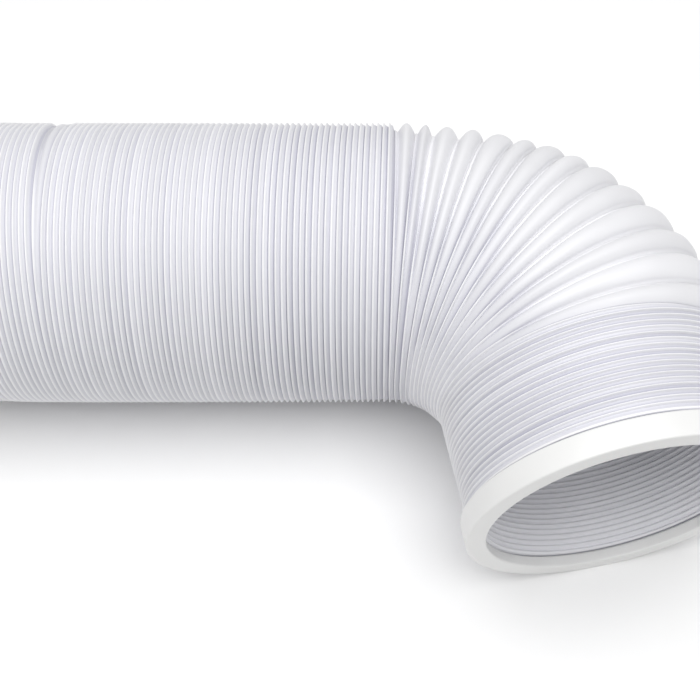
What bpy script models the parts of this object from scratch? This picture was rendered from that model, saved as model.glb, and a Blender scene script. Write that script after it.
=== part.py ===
"""Accordion exhaust hose of a room air conditioner, drawn out round one corner.

A blown strip of polypropylene wound into round folds. Most folds are pushed
together, and those of the bend are pulled open on the outer side only. A moulded
ring closes each end. All sizes are in metres, +Z is up, the hose lies on z = 0.
"""
import math

import bpy
from mathutils import Vector

# The hose
HOSE_DIAMETER = 0.150        # over the crests of the folds
FOLDED_PITCH = 0.0030        # one pushed-together fold, along the hose
FOLDED_DEPTH = 0.0090        # crest to inner edge of a pushed-together fold
GROOVE_DEPTH = 0.0022        # how deep the groove between two such folds stands open
REAR_FOLDS = 76              # pushed-together folds of the long straight run
FRONT_FOLDS = 19             # pushed-together folds of the short straight run

# The bend: each open fold along the outer side, from the rear on. They are uneven.
OUTER_PITCHES = (
    0.0135, 0.0105, 0.0165, 0.0155, 0.0175, 0.0125, 0.0170,
    0.0135, 0.0190, 0.0185, 0.0210, 0.0180, 0.0225, 0.0200,
)
PINCHED_PITCH = 0.0021       # each of them along the inner side
OPEN_DEPTH = 0.0060          # crest to crease of an open fold
OPEN_WALL = 0.0012           # wall of an open fold
SWELL = 0.0087               # how far the open folds stand out on the outer side
SWELL_SPAN = (0.15, 1.25)    # where the swell starts and ends, in shares of the bend
SWELL_EASE = 0.36            # share of the span in which it grows, and then fades

# The end rings
COLLAR_STAND = 0.0015        # how far a ring stands out over the folds
COLLAR_WALL = 0.0100         # wall of a ring, from its bore to its outside
COLLAR_WIDTH = 0.0125
COLLAR_EDGE = 0.0008         # rounding of the ring's edges
JOINT_GAP = 0.0003           # between the hose and each ring
END_RISE = 0.040             # stretch in which the hose climbs from the floor to a ring

# Fineness of the round shapes
HOSE_SIDES = 24
COLLAR_SIDES = 64
SWELL_STATIONS = 16
ARCH_STEPS = (0.0, 0.2, 0.5, 0.8)    # stations of one open fold, crease to crease
ARCH_FULLNESS = 0.6                  # 1 is a sine wave, less is a fuller arch

HOSE_RADIUS = HOSE_DIAMETER / 2
HOSE_BORE_RADIUS = HOSE_RADIUS - FOLDED_DEPTH
COLLAR_RADIUS = HOSE_RADIUS + COLLAR_STAND
COLLAR_BORE_RADIUS = COLLAR_RADIUS - COLLAR_WALL


def fold_run():
    """Each open fold of the bend, as its length at the centre line and its turn.

    The inner side of a fold is pinched and its outer side opens, so the fold's
    end planes turn against each other.
    """
    run = []
    for outer_pitch in OUTER_PITCHES:
        turn = (outer_pitch - PINCHED_PITCH) / HOSE_DIAMETER
        length = (outer_pitch + PINCHED_PITCH) / 2
        run.append((length, turn))
    return run


def guide_stretches():
    """The centre line as stretches of (length, turn, rise), from the rear end on."""
    rear_length = REAR_FOLDS * FOLDED_PITCH
    front_length = FRONT_FOLDS * FOLDED_PITCH
    rear_rise = min(END_RISE, rear_length / 2)
    front_rise = min(END_RISE, front_length / 2)
    lift = COLLAR_RADIUS - HOSE_RADIUS
    stretches = [(rear_rise, 0.0, -lift), (rear_length - rear_rise, 0.0, 0.0)]
    stretches += [(length, turn, 0.0) for length, turn in fold_run()]
    stretches += [(front_length - front_rise, 0.0, 0.0), (front_rise, 0.0, lift)]
    return stretches


def heading_vector(heading):
    """Unit vector of a heading, turned clockwise from +X as seen from above."""
    return Vector((math.cos(heading), -math.sin(heading), 0.0))


def guide_stations():
    """Centre-line stations as (point, heading), one before and after each stretch."""
    point = Vector((0.0, 0.0, COLLAR_RADIUS))
    heading = 0.0
    stations = [(point.copy(), heading)]
    for length, turn, rise in guide_stretches():
        chord = length if turn == 0.0 else 2 * length / turn * math.sin(turn / 2)
        point += heading_vector(heading + turn / 2) * chord
        point.z += rise
        heading += turn
        stations.append((point.copy(), heading))
    return stations


def new_material(name, color, roughness):
    """A plain moulded plastic."""
    material = bpy.data.materials.new(name)
    material.use_nodes = True
    shader = material.node_tree.nodes["Principled BSDF"]
    shader.inputs["Base Color"].default_value = (*color, 1.0)
    shader.inputs["Roughness"].default_value = roughness
    shader.inputs["Metallic"].default_value = 0.0
    return material


def arch_radius(share):
    """Outer radius of an open fold at a share of the way from crease to crease."""
    fullness = math.sin(math.pi * share) ** ARCH_FULLNESS
    return HOSE_RADIUS - OPEN_DEPTH * (1 - fullness)


def hose_outline():
    """Closed outline of the hose's wall as (radius, distance from the rear end).

    It runs down the outer side from the front end, then back along the bore.
    """
    half_fold = FOLDED_PITCH / 2
    crease_radius = HOSE_RADIUS - OPEN_DEPTH
    groove_radius = HOSE_RADIUS - GROOVE_DEPTH
    start = REAR_FOLDS * FOLDED_PITCH
    outer = []
    for fold in range(REAR_FOLDS):
        outer.append((groove_radius, fold * FOLDED_PITCH))
        outer.append((HOSE_RADIUS, fold * FOLDED_PITCH + half_fold))
    inner = [(HOSE_BORE_RADIUS, 0.0), (HOSE_BORE_RADIUS, start - half_fold)]
    for length, _turn in fold_run():
        outer += [(arch_radius(share), start + share * length) for share in ARCH_STEPS]
        inner.append((crease_radius - OPEN_WALL, start))
        start += length
    outer.append((crease_radius, start))
    inner.append((crease_radius - OPEN_WALL, start))
    for fold in range(FRONT_FOLDS):
        outer.append((HOSE_RADIUS, start + fold * FOLDED_PITCH + half_fold))
        outer.append((groove_radius, start + (fold + 1) * FOLDED_PITCH))
    end = start + FRONT_FOLDS * FOLDED_PITCH
    inner += [(HOSE_BORE_RADIUS, start + half_fold), (HOSE_BORE_RADIUS, end)]
    return outer[::-1] + inner


def turned_object(name, outline, sides, material, collection, root):
    """A closed outline turned round the Z axis with a Screw modifier."""
    mesh = bpy.data.meshes.new(name)
    corners = [(radius, 0.0, height) for radius, height in outline]
    edges = [(index, (index + 1) % len(corners)) for index in range(len(corners))]
    mesh.from_pydata(corners, edges, [])
    mesh.materials.append(material)
    turned = bpy.data.objects.new(name, mesh)
    turned.parent = root
    collection.objects.link(turned)
    screw = turned.modifiers.new("turn", "SCREW")
    screw.axis = "Z"
    screw.steps = sides
    screw.render_steps = sides
    screw.use_merge_vertices = True
    screw.merge_threshold = 0.00001
    screw.use_smooth_shade = True
    return turned


def make_guide(collection, root):
    """The centre line of the hose as a Bezier curve, one arc for each open fold."""
    stations = guide_stations()
    stretches = guide_stretches()
    curve = bpy.data.curves.new("centre_line", "CURVE")
    curve.dimensions = "3D"
    curve.twist_mode = "Z_UP"
    curve.resolution_u = 12
    curve.use_path = True
    spline = curve.splines.new("BEZIER")
    spline.bezier_points.add(len(stations) - 1)
    handles = []
    for length, turn, _rise in stretches:
        handles.append(length / 3 if turn == 0.0 else length / turn * math.tan(turn / 4) * 4 / 3)
    for index, (point, heading) in enumerate(stations):
        before = handles[max(index - 1, 0)]
        after = handles[min(index, len(handles) - 1)]
        knot = spline.bezier_points[index]
        knot.handle_left_type = "FREE"
        knot.handle_right_type = "FREE"
        knot.co = point
        knot.handle_left = point - heading_vector(heading) * before
        knot.handle_right = point + heading_vector(heading) * after
    guide = bpy.data.objects.new("centre_line", curve)
    guide.hide_render = True
    guide.display_type = "WIRE"
    guide.parent = root
    collection.objects.link(guide)
    return guide


def ease(share):
    """A smooth step from 0 to 1."""
    share = min(max(share, 0.0), 1.0)
    return share * share * (3 - 2 * share)


def make_swell(collection, root):
    """A lattice round the straight hose, wider where the bend's outer side will be."""
    bend_start = REAR_FOLDS * FOLDED_PITCH
    bend_length = sum(length for length, _turn in fold_run())
    low = bend_start + SWELL_SPAN[0] * bend_length
    high = bend_start + SWELL_SPAN[1] * bend_length
    lattice = bpy.data.lattices.new("swell")
    lattice.interpolation_type_u = "KEY_LINEAR"
    lattice.interpolation_type_v = "KEY_LINEAR"
    lattice.interpolation_type_w = "KEY_LINEAR"
    lattice.points_w = SWELL_STATIONS
    for point in lattice.points:
        share = point.co.z / (SWELL_STATIONS - 1) + 0.5
        growth = ease(share / SWELL_EASE) * ease((1 - share) / SWELL_EASE)
        if point.co.x > 0:
            point.co_deform.x += growth * SWELL / HOSE_DIAMETER
    cage = bpy.data.objects.new("swell", lattice)
    cage.location = (0.0, 0.0, (low + high) / 2)
    cage.scale = (HOSE_DIAMETER, HOSE_DIAMETER, (high - low) / (SWELL_STATIONS - 1))
    cage.hide_render = True
    cage.display_type = "WIRE"
    cage.parent = root
    collection.objects.link(cage)
    return cage


def make_hose(swell, guide, material, collection, root):
    """The folded strip: a turned wall, swollen and bent along the centre line."""
    hose = turned_object("corrugated_hose", hose_outline(), HOSE_SIDES, material, collection, root)
    widening = hose.modifiers.new("swell", "LATTICE")
    widening.object = swell
    bend = hose.modifiers.new("bend", "CURVE")
    bend.object = guide
    bend.deform_axis = "POS_Z"
    return hose


def make_collar(name, end, direction, material, collection, root):
    """A ring with rounded edges, its back face a joint gap off the hose's end."""
    outline = [
        (COLLAR_RADIUS, COLLAR_WIDTH),
        (COLLAR_RADIUS, 0.0),
        (COLLAR_BORE_RADIUS, 0.0),
        (COLLAR_BORE_RADIUS, COLLAR_WIDTH),
    ]
    collar = turned_object(name, outline, COLLAR_SIDES, material, collection, root)
    collar.location = end + direction * JOINT_GAP
    collar.rotation_euler = direction.to_track_quat("Z", "Y").to_euler()
    rounding = collar.modifiers.new("edges", "BEVEL")
    rounding.width = COLLAR_EDGE
    rounding.segments = 2
    rounding.limit_method = "ANGLE"
    rounding.angle_limit = math.radians(60)
    return collar


def centre_over_origin(root, pieces):
    """Moves the root so that the middle of the object's footprint is the origin."""
    bpy.context.view_layer.update()
    graph = bpy.context.evaluated_depsgraph_get()
    corners = []
    for piece in pieces:
        solid = piece.evaluated_get(graph)
        corners += [solid.matrix_world @ Vector(corner) for corner in solid.bound_box]
    lows = [min(corner[axis] for corner in corners) for axis in range(3)]
    highs = [max(corner[axis] for corner in corners) for axis in range(3)]
    root.location.x -= (lows[0] + highs[0]) / 2
    root.location.y -= (lows[1] + highs[1]) / 2
    root.location.z -= lows[2]


def main():
    for old in list(bpy.data.objects):
        bpy.data.objects.remove(old, do_unlink=True)
    parts = bpy.data.collections.new("exhaust_hose")
    guides = bpy.data.collections.new("guides")
    bpy.context.scene.collection.children.link(parts)
    bpy.context.scene.collection.children.link(guides)
    root = bpy.data.objects.new("exhaust_hose_origin", None)
    parts.objects.link(root)

    strip_plastic = new_material("polypropylene_strip", (0.80, 0.80, 0.86), 0.45)
    ring_plastic = new_material("moulded_abs_ring", (0.88, 0.88, 0.87), 0.35)

    swell = make_swell(guides, root)
    guide = make_guide(guides, root)
    hose = make_hose(swell, guide, strip_plastic, parts, root)
    rear_point, rear_heading = guide_stations()[0]
    front_point, front_heading = guide_stations()[-1]
    rear = make_collar("rear_collar", rear_point, -heading_vector(rear_heading),
                       ring_plastic, parts, root)
    front = make_collar("front_collar", front_point, heading_vector(front_heading),
                        ring_plastic, parts, root)
    centre_over_origin(root, [hose, rear, front])


main()
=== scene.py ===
# %% [markdown]
# An accordion exhaust hose, drawn out round one corner
#
# The real hose is one strip of white polypropylene film with a stiff bead along its
# edge, wound into a spiral and formed into folds. Pushed together, a fold takes 3 mm
# of the hose's length, and pulled open it takes up to 22 mm. A smooth moulded ring
# closes each end. This lesson loads the finished frame of the hose and then makes
# its surface: the camera, the path, the folds with Geometry Nodes, the rings, the
# plastics, and at last the floor and the light.

# %% Load the frame
import math

import bmesh
import bpy
from mathutils import Euler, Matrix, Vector


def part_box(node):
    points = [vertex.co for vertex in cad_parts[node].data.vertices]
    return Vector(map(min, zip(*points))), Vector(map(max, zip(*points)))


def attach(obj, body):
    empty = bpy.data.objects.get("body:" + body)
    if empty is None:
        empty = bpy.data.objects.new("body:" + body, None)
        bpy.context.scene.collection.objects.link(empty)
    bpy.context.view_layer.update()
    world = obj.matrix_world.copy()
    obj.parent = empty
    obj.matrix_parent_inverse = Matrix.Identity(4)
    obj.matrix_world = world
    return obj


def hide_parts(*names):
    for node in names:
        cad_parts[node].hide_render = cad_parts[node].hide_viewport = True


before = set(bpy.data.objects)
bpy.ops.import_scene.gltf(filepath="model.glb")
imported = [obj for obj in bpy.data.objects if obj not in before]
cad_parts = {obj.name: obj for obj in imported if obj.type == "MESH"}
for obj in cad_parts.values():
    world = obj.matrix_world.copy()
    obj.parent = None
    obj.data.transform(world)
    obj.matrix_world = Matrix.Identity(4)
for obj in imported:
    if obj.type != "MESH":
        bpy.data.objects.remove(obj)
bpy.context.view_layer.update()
print("frame nodes:", sorted(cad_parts))

# %% [markdown]
# The camera looks down on the hose at 59 degrees from about 0.6 m away, which is
# how the hose was photographed. The picture's middle isn't quite the lens's middle,
# so the lens is shifted a little. Depth of field stays off, because a catalogue
# picture is sharp all over.

# %% Camera
IMAGE_SIDE = 700
SENSOR_WIDTH = 36.0
FOCAL_PIXELS = 1107
CAMERA_DROP = math.radians(59)
CAMERA_DISTANCE = 0.6016
LENS_CENTRE = (374, 347)
AIM_POINT = Vector((0.0195, 0.0415, 0.075))
AIM_ANGLE = 0.075


def make_camera():
    """The camera, with the aim point a small angle above the lens's middle."""
    camera_data = bpy.data.cameras.new("camera")
    camera = bpy.data.objects.new("camera", camera_data)
    bpy.context.scene.collection.objects.link(camera)
    back = Vector((0.0, -math.cos(CAMERA_DROP), math.sin(CAMERA_DROP)))
    up = Vector((0.0, math.sin(CAMERA_DROP), math.cos(CAMERA_DROP)))
    aim_back = back * math.cos(AIM_ANGLE) - up * math.sin(AIM_ANGLE)
    camera.location = AIM_POINT + aim_back * CAMERA_DISTANCE
    camera.rotation_euler = Euler((math.pi / 2 - CAMERA_DROP, 0.0, 0.0))
    camera_data.sensor_width = SENSOR_WIDTH
    camera_data.lens = FOCAL_PIXELS * SENSOR_WIDTH / IMAGE_SIDE
    camera_data.shift_x = (IMAGE_SIDE / 2 - LENS_CENTRE[0]) / IMAGE_SIDE
    camera_data.shift_y = (LENS_CENTRE[1] - IMAGE_SIDE / 2) / IMAGE_SIDE
    camera_data.dof.use_dof = False
    bpy.context.scene.camera = camera
    return camera


camera = make_camera()
print("lens", round(camera.data.lens, 1), "mm, camera at", [round(v, 3) for v in camera.location])

# %% [markdown]
# A tree of nodes is easier to read in a script when one short function adds every
# node. Its values go to the node's inputs in order: a socket is linked, and anything
# else is set on the input itself. Most nodes here do plain arithmetic, so a kind in
# capitals stands for that operation of the math node.

# %% One function for every node
def add_node(tree, kind, *values, output=0, **settings):
    """Adds a node, sets it up, links or fills its inputs, and gives one output."""
    if kind.isupper():
        settings["operation"] = kind
        kind = "ShaderNodeMath"
    node = tree.nodes.new(kind)
    for name, value in settings.items():
        setattr(node, name, value)
    sockets = [socket for socket in node.inputs if socket.enabled]
    for socket, value in zip(sockets, values):
        if value is None:
            continue
        if isinstance(value, bpy.types.NodeSocket):
            tree.links.new(value, socket)
        else:
            socket.default_value = value
    return [socket for socket in node.outputs if socket.enabled][output]


def linear(hex_color):
    """A colour written as sRGB hex, in the linear values that Blender mixes."""
    channels = [int(hex_color[i:i + 2], 16) / 255 for i in (1, 3, 5)]
    curve = [c / 12.92 if c <= 0.04045 else ((c + 0.055) / 1.055) ** 2.4 for c in channels]
    return (*curve, 1.0)


print("linear mid grey:", round(linear("#808080")[0], 3))

# %% [markdown]
# The folds follow a path: a long straight run, a bend in which each fold opens on
# the outer side only, and a short straight run. Most sizes are those of the frame.
# Two go past it, because the real film does: the open folds swell 2.1 mm further
# out than the frame's plain hose, and the short run's inner side is tucked in by
# 2 mm. Two marks of use are added as well: the rings of the folds lean a little, and
# one fold of the long run has come open by a few millimetres.

# %% Sizes of the hose
HOSE_RADIUS = 0.075
BORE_RADIUS = 0.066
FOLDED_PITCH = 0.0030
TAIL_FOLDS = 2           # at each end, small folds that go into the ring
REAR_FOLDS = 76
FRONT_FOLDS = 19
OUTER_PITCHES = (
    0.0135, 0.0105, 0.0165, 0.0155, 0.0175, 0.0125, 0.0170,
    0.0135, 0.0190, 0.0185, 0.0210, 0.0180, 0.0225, 0.0200,
)                        # each open fold along the bend's outer side
PINCHED_PITCH = 0.0021   # each of them along the inner side
OPEN_DEPTH = 0.0060      # crest to crease of an open fold
SWELL = 0.0108           # how far the open folds stand out on the outer side
SWELL_SPAN = (0.15, 1.25)  # where it starts and ends, in shares of the bend
SWELL_EASE = 0.36        # share of the span in which it grows, and then fades
TUCK = 0.0020            # how far the short run's inner side is drawn in
TUCK_START = 0.6         # share of the bend at which that starts
TUCK_FADE = 0.010        # stretch in which it fades before the ring
JOINT_GAP = 0.0003       # between a ring's back and the full width of the hose
END_RISE = 0.040         # stretch in which the hose climbs from the floor to a ring
SLIPPED_FOLD = 18        # the fold of the long run that has come open
SLIPPED_EXTRA = 0.0032   # by which it is longer at the middle
# (fold, degrees that its ring leans), counted from the rear end
LEANS = ((0, 0.0), (8, -3.6), (18, -3.4), (19, -0.9), (76, 2.0), (80, 0.0), (109, 0.0))


def along(stops, x):
    """The value at x on straight lines between (x, value) stops."""
    for (x0, y0), (x1, y1) in zip(stops, stops[1:]):
        if x <= x1:
            return y0 + (y1 - y0) * (x - x0) / (x1 - x0)
    return stops[-1][1]


def ease(share):
    """A smooth step from 0 to 1."""
    share = min(max(share, 0.0), 1.0)
    return share * share * (3 - 2 * share)


def heading_vector(heading):
    """Unit vector of a heading, turned clockwise from +X as seen from above."""
    return Vector((math.cos(heading), -math.sin(heading), 0.0))


def lay_folds():
    """Every fold as (length at the middle, turn), from the rear end on."""
    rear = [FOLDED_PITCH] * REAR_FOLDS
    rear[SLIPPED_FOLD] += SLIPPED_EXTRA
    stretch = REAR_FOLDS * FOLDED_PITCH / sum(rear)
    run = [(FOLDED_PITCH, 0.0)] * TAIL_FOLDS
    run += [(length * stretch, 0.0) for length in rear]
    for outer in OUTER_PITCHES:
        run.append(((outer + PINCHED_PITCH) / 2, (outer - PINCHED_PITCH) / (2 * HOSE_RADIUS)))
    return run + [(FOLDED_PITCH, 0.0)] * (FRONT_FOLDS + TAIL_FOLDS)


folds = lay_folds()
TOTAL_FOLDS = len(folds)
print(TOTAL_FOLDS, "folds,", round(sum(fold[0] for fold in folds) * 1000, 1), "mm at the middle")

# %% [markdown]
# One station stands at each end of each fold. It holds the fold's middle, the way
# its ring faces, how far the outer side swells there, and the length and the turn
# of the fold that follows. Close to each end the hose climbs a little to the
# thicker ring. The rings lean a few degrees, because the hose was pushed about
# before it came to rest, and each change of lean opens or closes the folds a bit.

# %% The path
def walk_path():
    """Stations (point, heading, swell, tuck, length, turn), one more than the folds."""
    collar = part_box("rear_collar")
    tail = TAIL_FOLDS * FOLDED_PITCH
    start = collar[1][0] + JOINT_GAP - tail
    point = Vector((start, (collar[0][1] + collar[1][1]) / 2, HOSE_RADIUS))
    rise = collar[1][2] / 2 - HOSE_RADIUS
    total_length = sum(fold[0] for fold in folds)
    bend_start = tail + REAR_FOLDS * FOLDED_PITCH
    bend_length = total_length - bend_start - FRONT_FOLDS * FOLDED_PITCH - tail
    heading = 0.0
    travelled = 0.0
    stations = []
    for index in range(TOTAL_FOLDS + 1):
        length, turn = folds[min(index, TOTAL_FOLDS - 1)]
        from_end = min(travelled, total_length - travelled) - tail
        climb = ease(1 - from_end / END_RISE) * rise
        place = (travelled - bend_start) / bend_length
        share = (place - SWELL_SPAN[0]) / (SWELL_SPAN[1] - SWELL_SPAN[0])
        swell = SWELL * ease(share / SWELL_EASE) * ease((1 - share) / SWELL_EASE)
        tuck_grown = ease((place - TUCK_START) / (1 - TUCK_START))
        tuck = TUCK * tuck_grown * ease(from_end / TUCK_FADE)
        lean = math.radians(along(LEANS, max(index - TAIL_FOLDS, 0)))
        lean_after = math.radians(along(LEANS, max(index + 1 - TAIL_FOLDS, 0)))
        spot = point + Vector((0.0, 0.0, climb))
        stations.append((spot, heading + lean, swell, tuck, length, turn + lean_after - lean))
        point = point + heading_vector(heading + turn / 2) * length
        heading += turn
        travelled += length
    return stations


def make_path_mesh(stations):
    """The stations as loose vertices that carry their facts as attributes."""
    mesh = bpy.data.meshes.new("fold_stations")
    mesh.from_pydata([station[0] for station in stations], [], [])
    for slot, name in enumerate(("heading", "swell", "tuck", "length", "turn"), 1):
        facts = mesh.attributes.new(name, "FLOAT", "POINT")
        facts.data.foreach_set("value", [station[slot] for station in stations])
    return mesh


stations = walk_path()
path_mesh = make_path_mesh(stations)
front_heading = stations[-1][1]
print("front end at", [round(v, 4) for v in stations[-1][0]])
print("it faces", round(math.degrees(front_heading), 1), "degrees off the long run")

# %% [markdown]
# A Geometry Nodes tree can be built by script like any other data in Blender. It
# gets its named inputs first, so that sizes can be handed to it from outside. Every
# tree here ends in the same way: smooth shading, real instances and a material.

# %% Start and end of a tree
def new_tree(name, inputs):
    """An empty Geometry Nodes tree with named inputs, and its input sockets by name."""
    tree = bpy.data.node_groups.new(name, "GeometryNodeTree")
    tree.interface.new_socket("Geometry", in_out="INPUT", socket_type="NodeSocketGeometry")
    tree.interface.new_socket("Geometry", in_out="OUTPUT", socket_type="NodeSocketGeometry")
    for label, kind in inputs:
        tree.interface.new_socket(label, in_out="INPUT", socket_type="NodeSocket" + kind)
    entry = tree.nodes.new("NodeGroupInput")
    return tree, {socket.name: socket for socket in entry.outputs}


def finish_tree(tree, mesh, material):
    """Shades the mesh smooth, makes it real, gives it its material and leaves the tree."""
    smooth = add_node(tree, "GeometryNodeSetShadeSmooth", mesh, True, True)
    real = add_node(tree, "GeometryNodeRealizeInstances", smooth)
    finished = add_node(tree, "GeometryNodeSetMaterial", real, True, material)
    leave = tree.nodes.new("NodeGroupOutput")
    tree.links.new(finished, leave.inputs[0])


print("helpers for trees:", new_tree.__name__, "and", finish_tree.__name__)

# %% [markdown]
# The tree of the folds takes every size of the strip as an input, so that one tree
# can make all the parts of the strip, each with its own fineness.

# %% Inputs of the folds' tree
FOLD_INPUTS = (
    ("First Fold", "Int"), ("Fold Count", "Int"), ("Outer Steps", "Int"), ("Inner Steps", "Int"),
    ("Sides", "Int"), ("Total Folds", "Int"), ("Crowding", "Float"), ("Lead", "Float"),
    ("Crest Radius", "Float"), ("Bore Radius", "Float"), ("Folded Pitch", "Float"),
    ("Open Pitch", "Float"), ("Groove Depth", "Float"), ("Open Depth", "Float"),
    ("Open Wall", "Float"), ("Bead Width", "Float"), ("Bead Height", "Float"),
    ("Full Fold", "Float"), ("Neck Depth", "Float"), ("Tail Folds", "Float"),
    ("Tail Depth", "Float"), ("Unevenness", "Float"), ("Seed", "Int"), ("Material", "Material"),
)
fold_tree, given = new_tree("folded_strip", FOLD_INPUTS)
print("fold tree:", len(FOLD_INPUTS), "named inputs")

# %% [markdown]
# The surface is a grid of points, wrapped round the path. Its rows run along the
# strip and its columns go round the hose, from underneath over the bend's outer side
# and the top. The rows first go along the outside to the front, then back along the
# bore, and at last meet the first row again, so the wall is one closed body.
#
# Nothing has a shape yet: each point only works out which row and column it is in.

# %% Rows and columns
ROUND_OFF = 0.0001       # keeps a whole number whole where the arithmetic isn't exact


def add(kind, *values, **settings):
    """Adds a node to the tree of the folds."""
    return add_node(fold_tree, kind, *values, **settings)


outer_rows = add("MULTIPLY", given["Fold Count"], given["Outer Steps"])
inner_rows = add("MULTIPLY", given["Fold Count"], given["Inner Steps"])
rows = add("ADD", add("ADD", outer_rows, inner_rows), 3.0)
columns = add("ADD", given["Sides"], 1.0)
grid = add("GeometryNodeMeshGrid", 1.0, 1.0, rows, columns)
number = add("GeometryNodeInputIndex")
row = add("FLOOR", add("DIVIDE", add("ADD", number, 0.5), columns))
column = add("SUBTRACT", number, add("MULTIPLY", row, columns))
share = add("DIVIDE", column, given["Sides"])
is_last = add("GREATER_THAN", row, add("SUBTRACT", rows, 1.5))
past_outer = add("GREATER_THAN", row, add("ADD", outer_rows, 0.5))
is_inner = add("SUBTRACT", past_outer, is_last)
print("fold tree:", len(fold_tree.nodes), "nodes number the grid")

# %% [markdown]
# A row says how far along the strip a point is, counted in folds. After a whole turn
# round the hose a point is one fold further along the path, so the folds are a
# spiral, as on the real wound strip, and the grid's two sides meet underneath. The
# lead says how far round the hose a crease stands on its own station. Rows crowd
# together at the start of a fold, because its stiff bead is the finest detail.

# %% Place along the strip and along the path
outer_place = add("DIVIDE", row, given["Outer Steps"])
rows_back = add("SUBTRACT", add("SUBTRACT", rows, 2.0), row)
inner_place = add("DIVIDE", rows_back, given["Inner Steps"])
place = add("ShaderNodeMix", is_inner, outer_place, inner_place)
place = add("MULTIPLY", place, add("SUBTRACT", 1.0, is_last))
whole = add("FLOOR", add("ADD", place, ROUND_OFF))
part = add("MAXIMUM", add("SUBTRACT", place, whole), 0.0)
part = add("POWER", part, given["Crowding"])
strip = add("ADD", add("ADD", whole, part), given["First Fold"])
path_place = add("SUBTRACT", add("ADD", strip, share), given["Lead"])
path_place = add("MINIMUM", add("MAXIMUM", path_place, 0.0), given["Total Folds"])
strip = add("ADD", add("SUBTRACT", path_place, share), given["Lead"])
fold = add("FLOOR", add("ADD", strip, ROUND_OFF))
part = add("MAXIMUM", add("SUBTRACT", strip, fold), 0.0)
print("fold tree:", len(fold_tree.nodes), "nodes once each point has its fold")

# %% [markdown]
# Each point reads the two stations beside it and mixes them. A station's place, its
# heading and its bulges hold at the end of a fold, but its length and turn hold at
# the fold's middle, so those two are read half a fold further back.

# %% Reading the stations
last = add("SUBTRACT", given["Total Folds"], 1.0)
place_below = add("MINIMUM", add("FLOOR", path_place), last)
place_between = add("SUBTRACT", path_place, place_below)
half_back = add("MAXIMUM", add("SUBTRACT", path_place, 0.5), 0.0)
fold_below = add("MINIMUM", add("FLOOR", half_back), last)
fold_between = add("SUBTRACT", half_back, fold_below)


def read(kind, field, below, between):
    """A fact of the stations, mixed between the one below and the next."""
    ends = [add("GeometryNodeSampleIndex", given["Geometry"], field, add("ADD", below, step),
                data_type=kind, domain="POINT") for step in (0.0, 1.0)]
    mix_kind = "VECTOR" if kind == "FLOAT_VECTOR" else "FLOAT"
    return add("ShaderNodeMix", between, *ends, data_type=mix_kind)


middle = read("FLOAT_VECTOR", add("GeometryNodeInputPosition"), place_below, place_between)
facts = {}
for name, below, between in (
    ("heading", place_below, place_between), ("swell", place_below, place_between),
    ("tuck", place_below, place_between), ("length", fold_below, fold_between),
    ("turn", fold_below, fold_between),
):
    field = add("GeometryNodeInputNamedAttribute", name, data_type="FLOAT")
    facts[name] = read("FLOAT", field, below, between)
print("each point reads its place and its", ", ".join(facts))

# %% [markdown]
# How open a fold is differs round the hose. In the bend it is wide open on the outer
# side and pinched on the inner side. So the pitch is worked out for each point from
# the fold's length and turn, and from how far out to the side the point is. Where
# the folds are pinched they press flat, so their grooves have less freedom.

# %% How far a fold is open
PINCHED_SHARE = 0.68     # of the folded pitch, at which the grooves are at their flattest
PINCHED_GROOVE = 0.2     # of the full groove, that is left there

around = add("MULTIPLY", share, math.tau)
sideways = add("SINE", around)
reach = add("MULTIPLY", given["Crest Radius"], sideways)
pitch = add("ADD", facts["length"], add("MULTIPLY", facts["turn"], reach))
pitch = add("MAXIMUM", pitch, add("MULTIPLY", given["Folded Pitch"], 0.5))
opening = add("ShaderNodeMapRange", pitch, given["Folded Pitch"], given["Open Pitch"],
              0.0, 1.0, interpolation_type="SMOOTHSTEP")
pinched = add("MULTIPLY", given["Folded Pitch"], PINCHED_SHARE)
freedom = add("ShaderNodeMapRange", pitch, pinched, given["Folded Pitch"],
              PINCHED_GROOVE, 1.0, interpolation_type="SMOOTHSTEP")
print("fold tree:", len(fold_tree.nodes), "nodes once each point has its opening")

# %% [markdown]
# No two creases of a formed strip are quite the same. Each fold draws its own depth
# from a fixed seed, and every third one is a bit deeper, which is the rhythm that
# the photographed folds have. A spiral has no end where one fold's luck could change
# to the next one's, so it does so in a short blend underneath.

# %% Uneven creases
BLEND_START = 0.85       # share of the turn at which the blend underneath starts
CREASE_LUCK = (0.85, 1.1)
DEEPER_THIRD = 0.12

blend = add("ShaderNodeMapRange", share, BLEND_START, 1.0, 0.0, 1.0,
            interpolation_type="SMOOTHSTEP")


def fortune(low, high, shift):
    """A random value for each fold, blended to the next fold's value underneath."""
    seed = add("ADD", given["Seed"], shift)
    ends = [add("FunctionNodeRandomValue", low, high, add("ADD", fold, step), seed,
                data_type="FLOAT") for step in (200.0, 201.0)]
    return add("ShaderNodeMix", blend, *ends)


thirds = [add("COMPARE", add("MODULO", add("ADD", fold, step), 3.0), 0.0, 0.1)
          for step in (302.0, 303.0)]
third = add("ShaderNodeMix", blend, *thirds)
luck = add("ADD", fortune(*CREASE_LUCK, 0.0), add("MULTIPLY", third, DEEPER_THIRD))
groove_depth = add("MULTIPLY", add("MULTIPLY", given["Groove Depth"], luck), freedom)
print("fold tree:", len(fold_tree.nodes), "nodes once each crease has its depth")

# %% [markdown]
# Now the section of a fold, as a depth below the crests. It starts with the strip's
# stiff bead, a narrow dome. Where the folds are pushed together the bead is all that
# shows, as a bright ridge with its foot in the groove. Where a fold is open the bead
# lies at the bottom of the crease.

# %% The bead
WIDEST_BEAD = 0.42       # of the pitch
LOW_BEAD = 0.45          # height of an open fold's bead, where it isn't a third one

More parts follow.
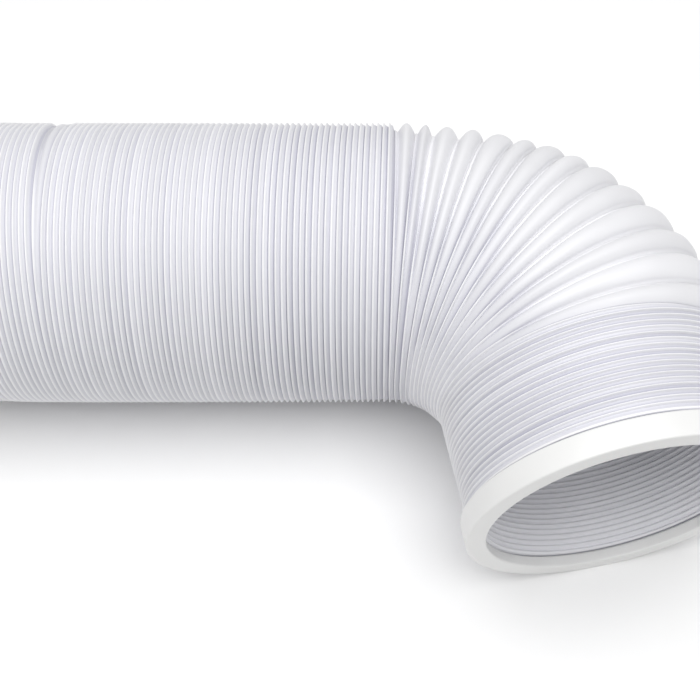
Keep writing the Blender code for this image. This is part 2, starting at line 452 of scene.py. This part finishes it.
bead_width = add("MINIMUM", given["Bead Width"], add("MULTIPLY", pitch, WIDEST_BEAD))
distance = add("MULTIPLY", part, pitch)
across = add("SUBTRACT", add("DIVIDE", add("MULTIPLY", distance, 2.0), bead_width), 1.0)
dome = add("SUBTRACT", 1.0, add("MULTIPLY", across, across))
dome = add("SQRT", add("MAXIMUM", dome, 0.0))
bead_height = add("MULTIPLY", given["Bead Height"], add("ShaderNodeMix", third, LOW_BEAD, 1.0))
shut_bead = add("MULTIPLY", groove_depth, add("SUBTRACT", 1.0, dome))
open_bead = add("SUBTRACT", given["Open Depth"], add("MULTIPLY", bead_height, dome))
bead_depth = add("ShaderNodeMix", opening, shut_bead, open_bead)
print("fold tree:", len(fold_tree.nodes), "nodes with the bead")

# %% [markdown]
# The soft film follows the bead: a short lip that slopes into the next crease where
# the fold is shut, and an arch from crease to crease where it is open. The first
# folds of the bend are round, and further on they are fuller, which a power below 1
# does to the sine wave. The section is whichever of bead and film stands higher.

# %% The film between the beads
LIP_TOP = 0.5            # depth at which the lip starts, as a share of the groove's
LIP_FALL = 0.3           # and how much deeper it ends
LIP_CURVE = 1.5
FULLEST_ARCH = 0.4       # power of the sine wave: 1 is round, less is fuller
FILLING_FOLDS = 3.0      # folds in which the arch gets there
UNDER_BEAD = 0.01        # keeps the film below the bead on the bead's first half

film_share = add("DIVIDE", add("SUBTRACT", distance, bead_width),
                 add("SUBTRACT", pitch, bead_width))
film_share = add("MINIMUM", add("MAXIMUM", film_share, 0.0), 1.0)
slope = add("ADD", LIP_TOP, add("MULTIPLY", add("POWER", film_share, LIP_CURVE), LIP_FALL))
lip_depth = add("MULTIPLY", groove_depth, slope)
arch = add("MAXIMUM", add("SINE", add("MULTIPLY", film_share, math.pi)), 0.0)
filling_starts = add("SUBTRACT", given["Full Fold"], FILLING_FOLDS)
fullness = add("ShaderNodeMapRange", path_place, filling_starts, given["Full Fold"],
               1.0, FULLEST_ARCH, interpolation_type="SMOOTHSTEP")
arch = add("POWER", arch, fullness)
arch_depth = add("MULTIPLY", given["Open Depth"], add("SUBTRACT", 1.0, arch))
film_depth = add("ShaderNodeMix", opening, lip_depth, arch_depth)
on_bead = add("LESS_THAN", across, 0.0)
film_depth = add("ADD", film_depth, add("MULTIPLY", on_bead, UNDER_BEAD))
depth = add("MINIMUM", bead_depth, film_depth)
print("fold tree:", len(fold_tree.nodes), "nodes with the film")

# %% [markdown]
# A plain neck runs up to each ring, and a thin tail goes on inside it, where the real
# strip is pressed into the ring's recess. Both ends of the hose get the same, so the
# distance is counted in folds from whichever end is nearer.

# %% Neck and tail
NECK_FOLDS = (0.8, 1.3)  # from the ring, where the neck gives way to the folds
TAIL_EDGE = (0.04, 0.4)  # from the ring, where the tail's step rises to the neck

from_end = add("MINIMUM", path_place, add("SUBTRACT", given["Total Folds"], path_place))
from_end = add("SUBTRACT", from_end, given["Tail Folds"])
neck = add("ShaderNodeMapRange", from_end, *NECK_FOLDS, 1.0, 0.0,
           interpolation_type="SMOOTHSTEP")
depth = add("ShaderNodeMix", neck, depth, given["Neck Depth"])
tail = add("ShaderNodeMapRange", from_end, *TAIL_EDGE, 1.0, 0.0)
depth = add("ShaderNodeMix", tail, depth, given["Tail Depth"])
outside = add("SUBTRACT", given["Crest Radius"], depth)
print("fold tree:", len(fold_tree.nodes), "nodes with both ends")

# %% [markdown]
# Inside, the bore shows wide round ribs where the folds are shut, and simply the
# film's back where they are open.

# %% The bore
BACKED_FROM = 0.35       # opening from which the bore is the film's back

off_crease = add("ABSOLUTE", add("SUBTRACT", strip, add("ROUND", strip)))
rib = add("POWER", add("MULTIPLY", off_crease, 2.0), 2.0)
rib = add("SQRT", add("MAXIMUM", add("SUBTRACT", 1.0, rib), 0.0))
ribbed = add("MULTIPLY", groove_depth, add("SUBTRACT", 1.0, rib))
ribbed = add("ADD", given["Bore Radius"], ribbed)
film_back = add("SUBTRACT", outside, given["Open Wall"])
backing = add("ShaderNodeMapRange", opening, 0.0, BACKED_FROM, 0.0, 1.0,
              interpolation_type="SMOOTHSTEP")
inside = add("ShaderNodeMix", backing, ribbed, film_back)
print("fold tree:", len(fold_tree.nodes), "nodes with the bore")

# %% [markdown]
# With its radius known, each point goes round its station: to the side along the
# station's ring, and up or down. The swell pushes the bend's outer half outwards,
# and the tuck draws the short run's inner half in.

# %% Round the path
radius = add("ShaderNodeMix", is_inner, outside, inside)
lateral = add("MULTIPLY", radius, sideways)
outer_share = add("DIVIDE", lateral, add("MULTIPLY", given["Crest Radius"], 2.0))
outer_share = add("ADD", outer_share, 0.5)
lateral = add("ADD", lateral, add("MULTIPLY", facts["swell"], outer_share))
inner_share = add("SUBTRACT", 1.0, outer_share)
lateral = add("ADD", lateral, add("MULTIPLY", facts["tuck"], inner_share))
drop = add("MULTIPLY", radius, add("COSINE", around))
offset = add("ShaderNodeCombineXYZ",
             add("MULTIPLY", lateral, add("SINE", facts["heading"])),
             add("MULTIPLY", lateral, add("COSINE", facts["heading"])),
             add("MULTIPLY", drop, -1.0))
position = add("ShaderNodeVectorMath", middle, offset, operation="ADD")
print("fold tree:", len(fold_tree.nodes), "nodes once each point has its place")

# %% [markdown]
# Soft film never hangs quite even. A noise of about 26 mm moves the open arches in
# and out a little, and leaves the shut folds and the creases where they are.

# %% The film's unevenness
WANDER_SCALE = 38.0      # waves in a metre

wander = add("SUBTRACT", add("ShaderNodeTexNoise", position, WANDER_SCALE, 1.0, 0.5), 0.5)
wander = add("MULTIPLY", add("MULTIPLY", wander, given["Unevenness"]), opening)
wander = add("MULTIPLY", wander, arch)
outwards = add("ShaderNodeVectorMath", offset, operation="NORMALIZE")
shift = add("ShaderNodeVectorMath", outwards, wander, operation="SCALE")
position = add("ShaderNodeVectorMath", position, shift, operation="ADD")
strip_mesh = add("GeometryNodeSetPosition", grid, True, position)
print("fold tree:", len(fold_tree.nodes), "nodes once the grid has its shape")

# %% [markdown]
# The material will need to know how high a point stands on its fold, how open the
# fold is, and so on, so these facts are stored on the mesh as attributes. Then the
# grid's seams are merged, and its faces are flipped to point outwards.

# %% Facts for the film, and a closed mesh
MERGE_WITHIN = 0.000005

height = add("SUBTRACT", 1.0, add("DIVIDE", depth, given["Open Depth"]))
bead_shows = add("MULTIPLY", dome, add("LESS_THAN", bead_depth, film_depth))
for name, field in (("height", height), ("opening", opening), ("bore", is_inner),
                    ("bead", bead_shows), ("tone", fortune(0.0, 1.0, 7.0)),
                    ("lengthwise", path_place)):
    strip_mesh = add("GeometryNodeStoreNamedAttribute", strip_mesh, True, name, field,
                     data_type="FLOAT", domain="POINT")
strip_mesh = add("GeometryNodeMergeByDistance", strip_mesh, True, MERGE_WITHIN)
strip_mesh = add("GeometryNodeFlipFaces", strip_mesh, True)
finish_tree(fold_tree, strip_mesh, given["Material"])
print("fold tree:", len(fold_tree.nodes), "nodes in all")

# %% [markdown]
# The end rings are turned shapes: a section with rounded corners, swept round a
# circle. The rounding is what a moulding tool leaves, and it gives the ring the
# thin soft highlight along its rim. The section is an L, because the real ring is a
# cap: a flange in front, and behind it a recess that holds the hose's last folds.
# The section's corners are drawn as a small mesh, which the tree turns to a curve.

# %% The tree that makes a ring
RING_RADIUS = 0.0765
RING_BORE = 0.0665
RING_WIDTH = 0.0125
RECESS_RADIUS = 0.0690
FLANGE_DEPTH = 0.0060
RING_INPUTS = (
    ("Middle Radius", "Float"), ("Edge Radius", "Float"), ("Sides", "Int"), ("Edge Steps", "Int"),
    ("Place", "Vector"), ("Turn", "Vector"), ("Material", "Material"),
)


def make_ring_section():
    """The ring's section: outwards from its middle radius, and backwards from its middle."""
    middle = (RING_RADIUS + RING_BORE) / 2
    outer, bore, recess = (r - middle for r in (RING_RADIUS, RING_BORE, RECESS_RADIUS))
    front, back = -RING_WIDTH / 2, RING_WIDTH / 2
    step = front + FLANGE_DEPTH
    corners = [(bore, front), (outer, front), (outer, back), (recess, back), (recess, step),
               (bore, step)]
    edges = [(i, (i + 1) % len(corners)) for i in range(len(corners))]
    mesh = bpy.data.meshes.new("ring_section")
    mesh.from_pydata([(x, y, 0.0) for x, y in corners], edges, [])
    return mesh


def build_ring_tree():
    """The tree of a moulded ring, swept flat and then put in its place."""
    tree, given = new_tree("moulded_ring", RING_INPUTS)
    circle = add_node(tree, "GeometryNodeCurvePrimitiveCircle", given["Sides"],
                      given["Middle Radius"])
    section = add_node(tree, "GeometryNodeMeshToCurve", given["Geometry"])
    section = add_node(tree, "GeometryNodeFilletCurve", section, given["Edge Steps"],
                       given["Edge Radius"], mode="POLY")
    swept = add_node(tree, "GeometryNodeCurveToMesh", circle, section)
    placed = add_node(tree, "GeometryNodeTransform", swept, given["Place"], given["Turn"])
    finish_tree(tree, placed, given["Material"])
    return tree


ring_tree = build_ring_tree()
print("ring tree:", len(ring_tree.nodes), "nodes")

# %% [markdown]
# A tree runs on a carrier object, and its result is kept as a plain mesh, so the
# finished piece has no modifier left. The strip is cut into three pieces, because a
# single mesh of all its folds would be too heavy. Where a piece was cut, the wall
# has a small hole at the spiral's step, which is filled, and the cut face gets
# sharp edges so that it doesn't darken the fold beside it.

# %% Bake a tree into a plain mesh
def bake(name, tree, base_mesh, values):
    """Runs a tree on a mesh with its named inputs set, and keeps the plain result."""
    carrier = bpy.data.objects.new(name + "_carrier", base_mesh)
    bpy.context.scene.collection.objects.link(carrier)
    modifier = carrier.modifiers.new("nodes", "NODES")
    modifier.node_group = tree
    for item in tree.interface.items_tree:
        if item.in_out == "INPUT" and item.name in values:
            modifier[item.identifier] = values[item.name]
    graph = bpy.context.evaluated_depsgraph_get()
    mesh = bpy.data.meshes.new_from_object(carrier.evaluated_get(graph))
    bpy.data.objects.remove(carrier)
    mesh.name = name
    piece = bpy.data.objects.new(name, mesh)
    bpy.context.scene.collection.objects.link(piece)
    return piece


def close_cuts(piece):
    """Fills the holes at the spiral's steps and sharpens the edges of the cut faces."""
    work = bmesh.new()
    work.from_mesh(piece.data)
    open_edges = [edge for edge in work.edges if edge.is_boundary]
    cuts = set(bmesh.ops.holes_fill(work, edges=open_edges)["faces"])
    bore = work.verts.layers.float["bore"]
    for face in work.faces:
        if len({vert[bore] > 0.5 for vert in face.verts}) > 1:
            cuts.add(face)
    for edge in work.edges:
        if len({face in cuts for face in edge.link_faces}) > 1:
            edge.smooth = False
    work.to_mesh(piece.data)
    work.free()


def report(piece):
    """Prints a piece's triangles, its open edges and the volume inside its faces."""
    work = bmesh.new()
    work.from_mesh(piece.data)
    triangles = sum(len(face.verts) - 2 for face in work.faces)
    open_edges = sum(1 for edge in work.edges if not edge.is_manifold)
    volume = work.calc_volume(signed=True) * 1e6
    print(piece.name, triangles, "triangles,", open_edges, "open edges,", round(volume, 1), "cm3")
    work.free()


print("trees to bake:", fold_tree.name, "and", ring_tree.name)

# %% [markdown]
# Polypropylene film is blown as a bubble, slit and wound while it is warm. That
# leaves it smooth with a soft sheen and very faint lines along the strip. It is
# white, and slightly lilac where several layers lie over each other. Light and shade
# are painted into its colour as well: painted shade in the creases and on the
# sloping lips of the shut folds, a painted highlight on the bead along the crests,
# and a bore painted paler for light that shines in through the film. The material
# reads how high a point stands on its fold, how open the fold is, and a random tone
# for each fold.

# %% The film's plastic
FILM_CLOUD = 0.012       # soft changes of the sheen, metres
DRAWN_LINES = 9.0        # faint lines in each fold, drawn coarser than the real 0.1 mm
SHUT_FILM_AND_LIP_SHADE = "#D7D7DD"    # several layers, a little lilac, and painted darker as shade on the sloping lips
OPEN_FILM = "#E9E9EC"    # one layer, nearly white
BEAD_WHITE_AND_HIGHLIGHT = "#F4F4F6"   # the thick edge, white, and painted whiter still as a highlight on the crests
CREASE_PAINTED_SHADE = "#B4B4C2"  # painted shade in the creases of the shut folds
BORE_WHITE_AND_GLOW = "#EEEEF2"   # the inside, painted paler than the film for light that shines in through the wall
CREASE_SHADE_HEIGHTS = (0.64, 0.78)  # on the fold: full painted crease shade below, none above
FOLD_TONES = (0.96, 1.02)  # the darkest and the lightest fold
FILM_RELIEF = 0.0003     # height of the lines and waves, metres
FILM_ROUGHNESS = (0.38, 0.50)  # a soft sheen, patchy where the film cooled unevenly
NOISE_SPAN = (0.3, 0.7)  # between which nearly all values of a noise lie
POLYPROPYLENE_IOR = 1.49  # typical, and the same for the rings


def new_material(name):
    """An empty material with its tree and its Principled shader."""
    material = bpy.data.materials.new(name)
    material.use_nodes = True
    return material, material.node_tree, material.node_tree.nodes["Principled BSDF"]


def make_film():
    """Blown polypropylene film: white, lilac in layers, with painted shade and highlight on the
    folds, a paler painted bore and a soft uneven sheen.
    """
    material, tree, shader = new_material("blown_polypropylene_film")
    place = add_node(tree, "ShaderNodeTexCoord", output=3)
    read = {name: add_node(tree, "ShaderNodeAttribute", attribute_name=name, output=2)
            for name in ("height", "opening", "bore", "bead", "tone", "lengthwise")}

    # shut folds are lilac from their layers, and are also painted darker as painted shade
    # on their sloping lips; the bead is painted whiter, partly its thick white edge and
    # partly a painted highlight along the crests
    color = add_node(tree, "ShaderNodeMix", read["opening"], linear(SHUT_FILM_AND_LIP_SHADE),
                     linear(OPEN_FILM), data_type="RGBA")
    # the bead's share: its own white edge, and a painted highlight on the crests
    bead_and_highlight_mask = add_node(tree, "ShaderNodeMapRange", read["opening"], 0.0, 1.0, 1.0, 0.3)
    bead_and_highlight_mask = add_node(tree, "MULTIPLY", read["bead"], bead_and_highlight_mask)
    color = add_node(tree, "ShaderNodeMix", bead_and_highlight_mask, color, linear(BEAD_WHITE_AND_HIGHLIGHT),
                     data_type="RGBA")
    # painted shade in the creases of the shut folds, low on each fold
    crease = add_node(tree, "ShaderNodeMapRange", read["height"], *CREASE_SHADE_HEIGHTS, 1.0, 0.0)
    shut = add_node(tree, "SUBTRACT", 1.0, read["opening"])
    crease = add_node(tree, "MULTIPLY", crease, add_node(tree, "MULTIPLY", shut, shut))
    color = add_node(tree, "ShaderNodeMix", crease, color, linear(CREASE_PAINTED_SHADE), data_type="RGBA")
    value = add_node(tree, "ShaderNodeMapRange", read["tone"], 0.0, 1.0, *FOLD_TONES)
    color = add_node(tree, "ShaderNodeHueSaturation", 0.5, 1.0, value, 1.0, color)
    # the bore is painted paler than the film outside, as painted light that shines in through the
    # wall
    color = add_node(tree, "ShaderNodeMix", read["bore"], color, linear(BORE_WHITE_AND_GLOW),
                     data_type="RGBA")
    tree.links.new(color, shader.inputs["Base Color"])

    # the film cools unevenly, which shows as soft patches in the sheen
    cloud = add_node(tree, "ShaderNodeTexNoise", place, 1 / FILM_CLOUD, 2.0, 0.5)
    roughness = add_node(tree, "ShaderNodeMapRange", cloud, *NOISE_SPAN, *FILM_ROUGHNESS)
    tree.links.new(roughness, shader.inputs["Roughness"])
    shader.inputs["IOR"].default_value = POLYPROPYLENE_IOR

    # lines that the die drew along the strip, and shallow waves across it
    lines = add_node(tree, "MULTIPLY", read["lengthwise"], DRAWN_LINES)
    lines = add_node(tree, "ShaderNodeTexNoise", lines, 1.0, 1.0, 0.5, noise_dimensions="1D")
    relief = add_node(tree, "ADD", add_node(tree, "MULTIPLY", lines, 0.3), cloud)
    normal = add_node(tree, "ShaderNodeBump", 0.35, FILM_RELIEF, None, relief)
    tree.links.new(normal, shader.inputs["Normal"])
    return material


film = make_film()
print("material:", film.name)

# %% [markdown]
# The rings are moulded polypropylene. A fine spark finish in the mould gives them
# an even satin, a cleaner white than the film, and the faintest cloudiness where
# the plastic flowed. All of it is too fine to see from where the camera stands,
# and it only softens the highlights.

# %% The ring's plastic
RING_CLOUD = 0.020       # flow marks, metres
RING_GRAIN = 0.0006      # spark finish, drawn three times as coarse as it is
RING_RELIEF = 0.00002    # depth of the spark finish, metres
RING_ROUGHNESS = (0.30, 0.38)  # an even satin
RING_WHITES = ("#E8E8E7", "#ECECEB")


def make_ring_plastic():
    """Moulded polypropylene: clean white, satin from a fine spark finish."""
    material, tree, shader = new_material("moulded_polypropylene")
    place = add_node(tree, "ShaderNodeTexCoord", output=3)
    cloud = add_node(tree, "ShaderNodeTexNoise", place, 1 / RING_CLOUD, 2.0, 0.5)
    color = add_node(tree, "ShaderNodeMix", cloud, *map(linear, RING_WHITES),
                     data_type="RGBA")
    tree.links.new(color, shader.inputs["Base Color"])
    roughness = add_node(tree, "ShaderNodeMapRange", cloud, *NOISE_SPAN, *RING_ROUGHNESS)
    tree.links.new(roughness, shader.inputs["Roughness"])
    shader.inputs["IOR"].default_value = POLYPROPYLENE_IOR
    grain = add_node(tree, "ShaderNodeTexNoise", place, 1 / RING_GRAIN, 1.0, 0.5)
    normal = add_node(tree, "ShaderNodeBump", 0.25, RING_RELIEF, None, grain)
    tree.links.new(normal, shader.inputs["Normal"])
    return material


ring_plastic = make_ring_plastic()
print("material:", ring_plastic.name)

# %% [markdown]
# The strip is baked in three parts with the same seed, so the folds go on evenly
# from one part to the next. The open folds of the bend get the most rows. Each
# finished part replaces the frame's plain hose and rides on its body.

# %% Values and parts of the strip
BEND_FOLD = TAIL_FOLDS + REAR_FOLDS
FRONT_FOLD = BEND_FOLD + len(OUTER_PITCHES)
STRIP_VALUES = {
    "Sides": 120, "Total Folds": TOTAL_FOLDS, "Lead": 0.35, "Crest Radius": HOSE_RADIUS,
    "Bore Radius": BORE_RADIUS, "Folded Pitch": FOLDED_PITCH, "Open Pitch": 0.0110,
    "Open Depth": OPEN_DEPTH, "Open Wall": 0.0012, "Bead Height": 0.0008,
    "Full Fold": BEND_FOLD + 5, "Neck Depth": 0.0012, "Tail Folds": TAIL_FOLDS,
    "Tail Depth": 0.0062, "Unevenness": 0.0016, "Seed": 5, "Material": film,
}
# name, first fold, folds, rows a fold outside and in the bore, crowding, groove's
# depth and bead's width; the front run's folds gape more, so theirs are larger
STRIP_PARTS = (
    ("rear_run", -1, BEND_FOLD + 1, 7, 3, 1.3, 0.0023, 0.0013),
    ("opened_bend", BEND_FOLD, len(OUTER_PITCHES), 32, 20, 1.5, 0.0023, 0.0013),
    ("front_run", FRONT_FOLD, TOTAL_FOLDS - FRONT_FOLD + 1, 12, 8, 1.3, 0.0029, 0.0015),
)
print("the bend starts at fold", BEND_FOLD, "and ends at fold", FRONT_FOLD)

# %% The folded strip
for name, first, count, outer_steps, inner_steps, crowding, groove, bead in STRIP_PARTS:
    values = dict(STRIP_VALUES)
    values.update({"First Fold": first, "Fold Count": count, "Outer Steps": outer_steps,
                   "Inner Steps": inner_steps, "Crowding": crowding, "Groove Depth": groove,
                   "Bead Width": bead})
    piece = bake(name, fold_tree, path_mesh, values)
    close_cuts(piece)
    report(piece)
    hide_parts("corrugated_hose")
    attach(piece, "root")

# %% [markdown]
# The two rings are the same moulding. Each is swept flat at the origin and then put
# where the frame's collar is, turned to face out of its end of the hose. This is
# done inside the tree, so the finished object itself stays unturned at the origin.

# %% The rings
RING_VALUES = {
    "Middle Radius": (RING_RADIUS + RING_BORE) / 2, "Edge Radius": 0.0010,
    "Sides": 192, "Edge Steps": 6, "Material": ring_plastic,
}
ring_section = make_ring_section()
for node, heading in (("front_collar", front_heading), ("rear_collar", math.pi)):
    low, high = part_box(node)
    values = dict(RING_VALUES)
    values["Place"] = [(a + b) / 2 for a, b in zip(low, high)]
    values["Turn"] = (0.0, math.pi / 2, -heading)
    ring = bake("moulded_" + node, ring_tree, ring_section, values)
    report(ring)
    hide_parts(node)
    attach(ring, "root")

# %% [markdown]
# A catalogue picture is lit by one large soft light overhead and a bright room all
# round. The paper under the hose is lit a little past white, as in such a picture,
# and only the hose's own soft shadow shows on it.

# %% Floor and light
PAPER_GRAIN = 0.0008     # fibres of the paper, drawn coarser than the real 0.05 mm
PAPER_WHITES = ("#F9F9F9", "#FCFCFC")
FLOOR_REACH = 4.0        # from the middle to each edge
OVERHEAD_PLACE = (0.0, -0.15, 1.7)
OVERHEAD_SIZE = (2.0, 1.6)
OVERHEAD_POWER = 30.5    # watts
ROOM_LIGHT = 0.35        # strength of the bright room round the hose


def make_floor():
    """Matt white paper, with a fibre grain that only breaks up the light."""
    mesh = bpy.data.meshes.new("floor")
    reach = FLOOR_REACH
    corners = [(-reach, -reach, 0), (reach, -reach, 0), (reach, reach, 0), (-reach, reach, 0)]
    mesh.from_pydata(corners, [], [(0, 1, 2, 3)])
    floor = bpy.data.objects.new("floor", mesh)
    bpy.context.scene.collection.objects.link(floor)
    material, tree, shader = new_material("matt_paper")
    place = add_node(tree, "ShaderNodeTexCoord", output=3)
    fibre = add_node(tree, "ShaderNodeTexNoise", place, 1 / PAPER_GRAIN, 2.0, 0.6)
    color = add_node(tree, "ShaderNodeMix", fibre, *map(linear, PAPER_WHITES),
                     data_type="RGBA")
    tree.links.new(color, shader.inputs["Base Color"])
    shader.inputs["Roughness"].default_value = 0.9
    shader.inputs["Specular IOR Level"].default_value = 0.2
    mesh.materials.append(material)


def make_area(name, place, target, size, power):
    """A soft rectangular light at a place, turned to a target."""
    data = bpy.data.lights.new(name, "AREA")
    data.shape = "RECTANGLE"
    data.size, data.size_y = size
    data.energy = power
    light = bpy.data.objects.new(name, data)
    light.location = place
    light.rotation_euler = (Vector(target) - Vector(place)).to_track_quat("-Z", "Y").to_euler()
    bpy.context.scene.collection.objects.link(light)


make_floor()
make_area("overhead", OVERHEAD_PLACE, (0.0, 0.0, 0.0), OVERHEAD_SIZE, OVERHEAD_POWER)
world = bpy.data.worlds.new("studio")
bpy.context.scene.world = world
world.use_nodes = True
background = world.node_tree.nodes["Background"]
background.inputs["Color"].default_value = linear("#FFFFFF")
background.inputs["Strength"].default_value = ROOM_LIGHT
bpy.context.scene.view_settings.view_transform = "Standard"
print("one light of", OVERHEAD_POWER, "W,", OVERHEAD_PLACE[2], "m over the floor")
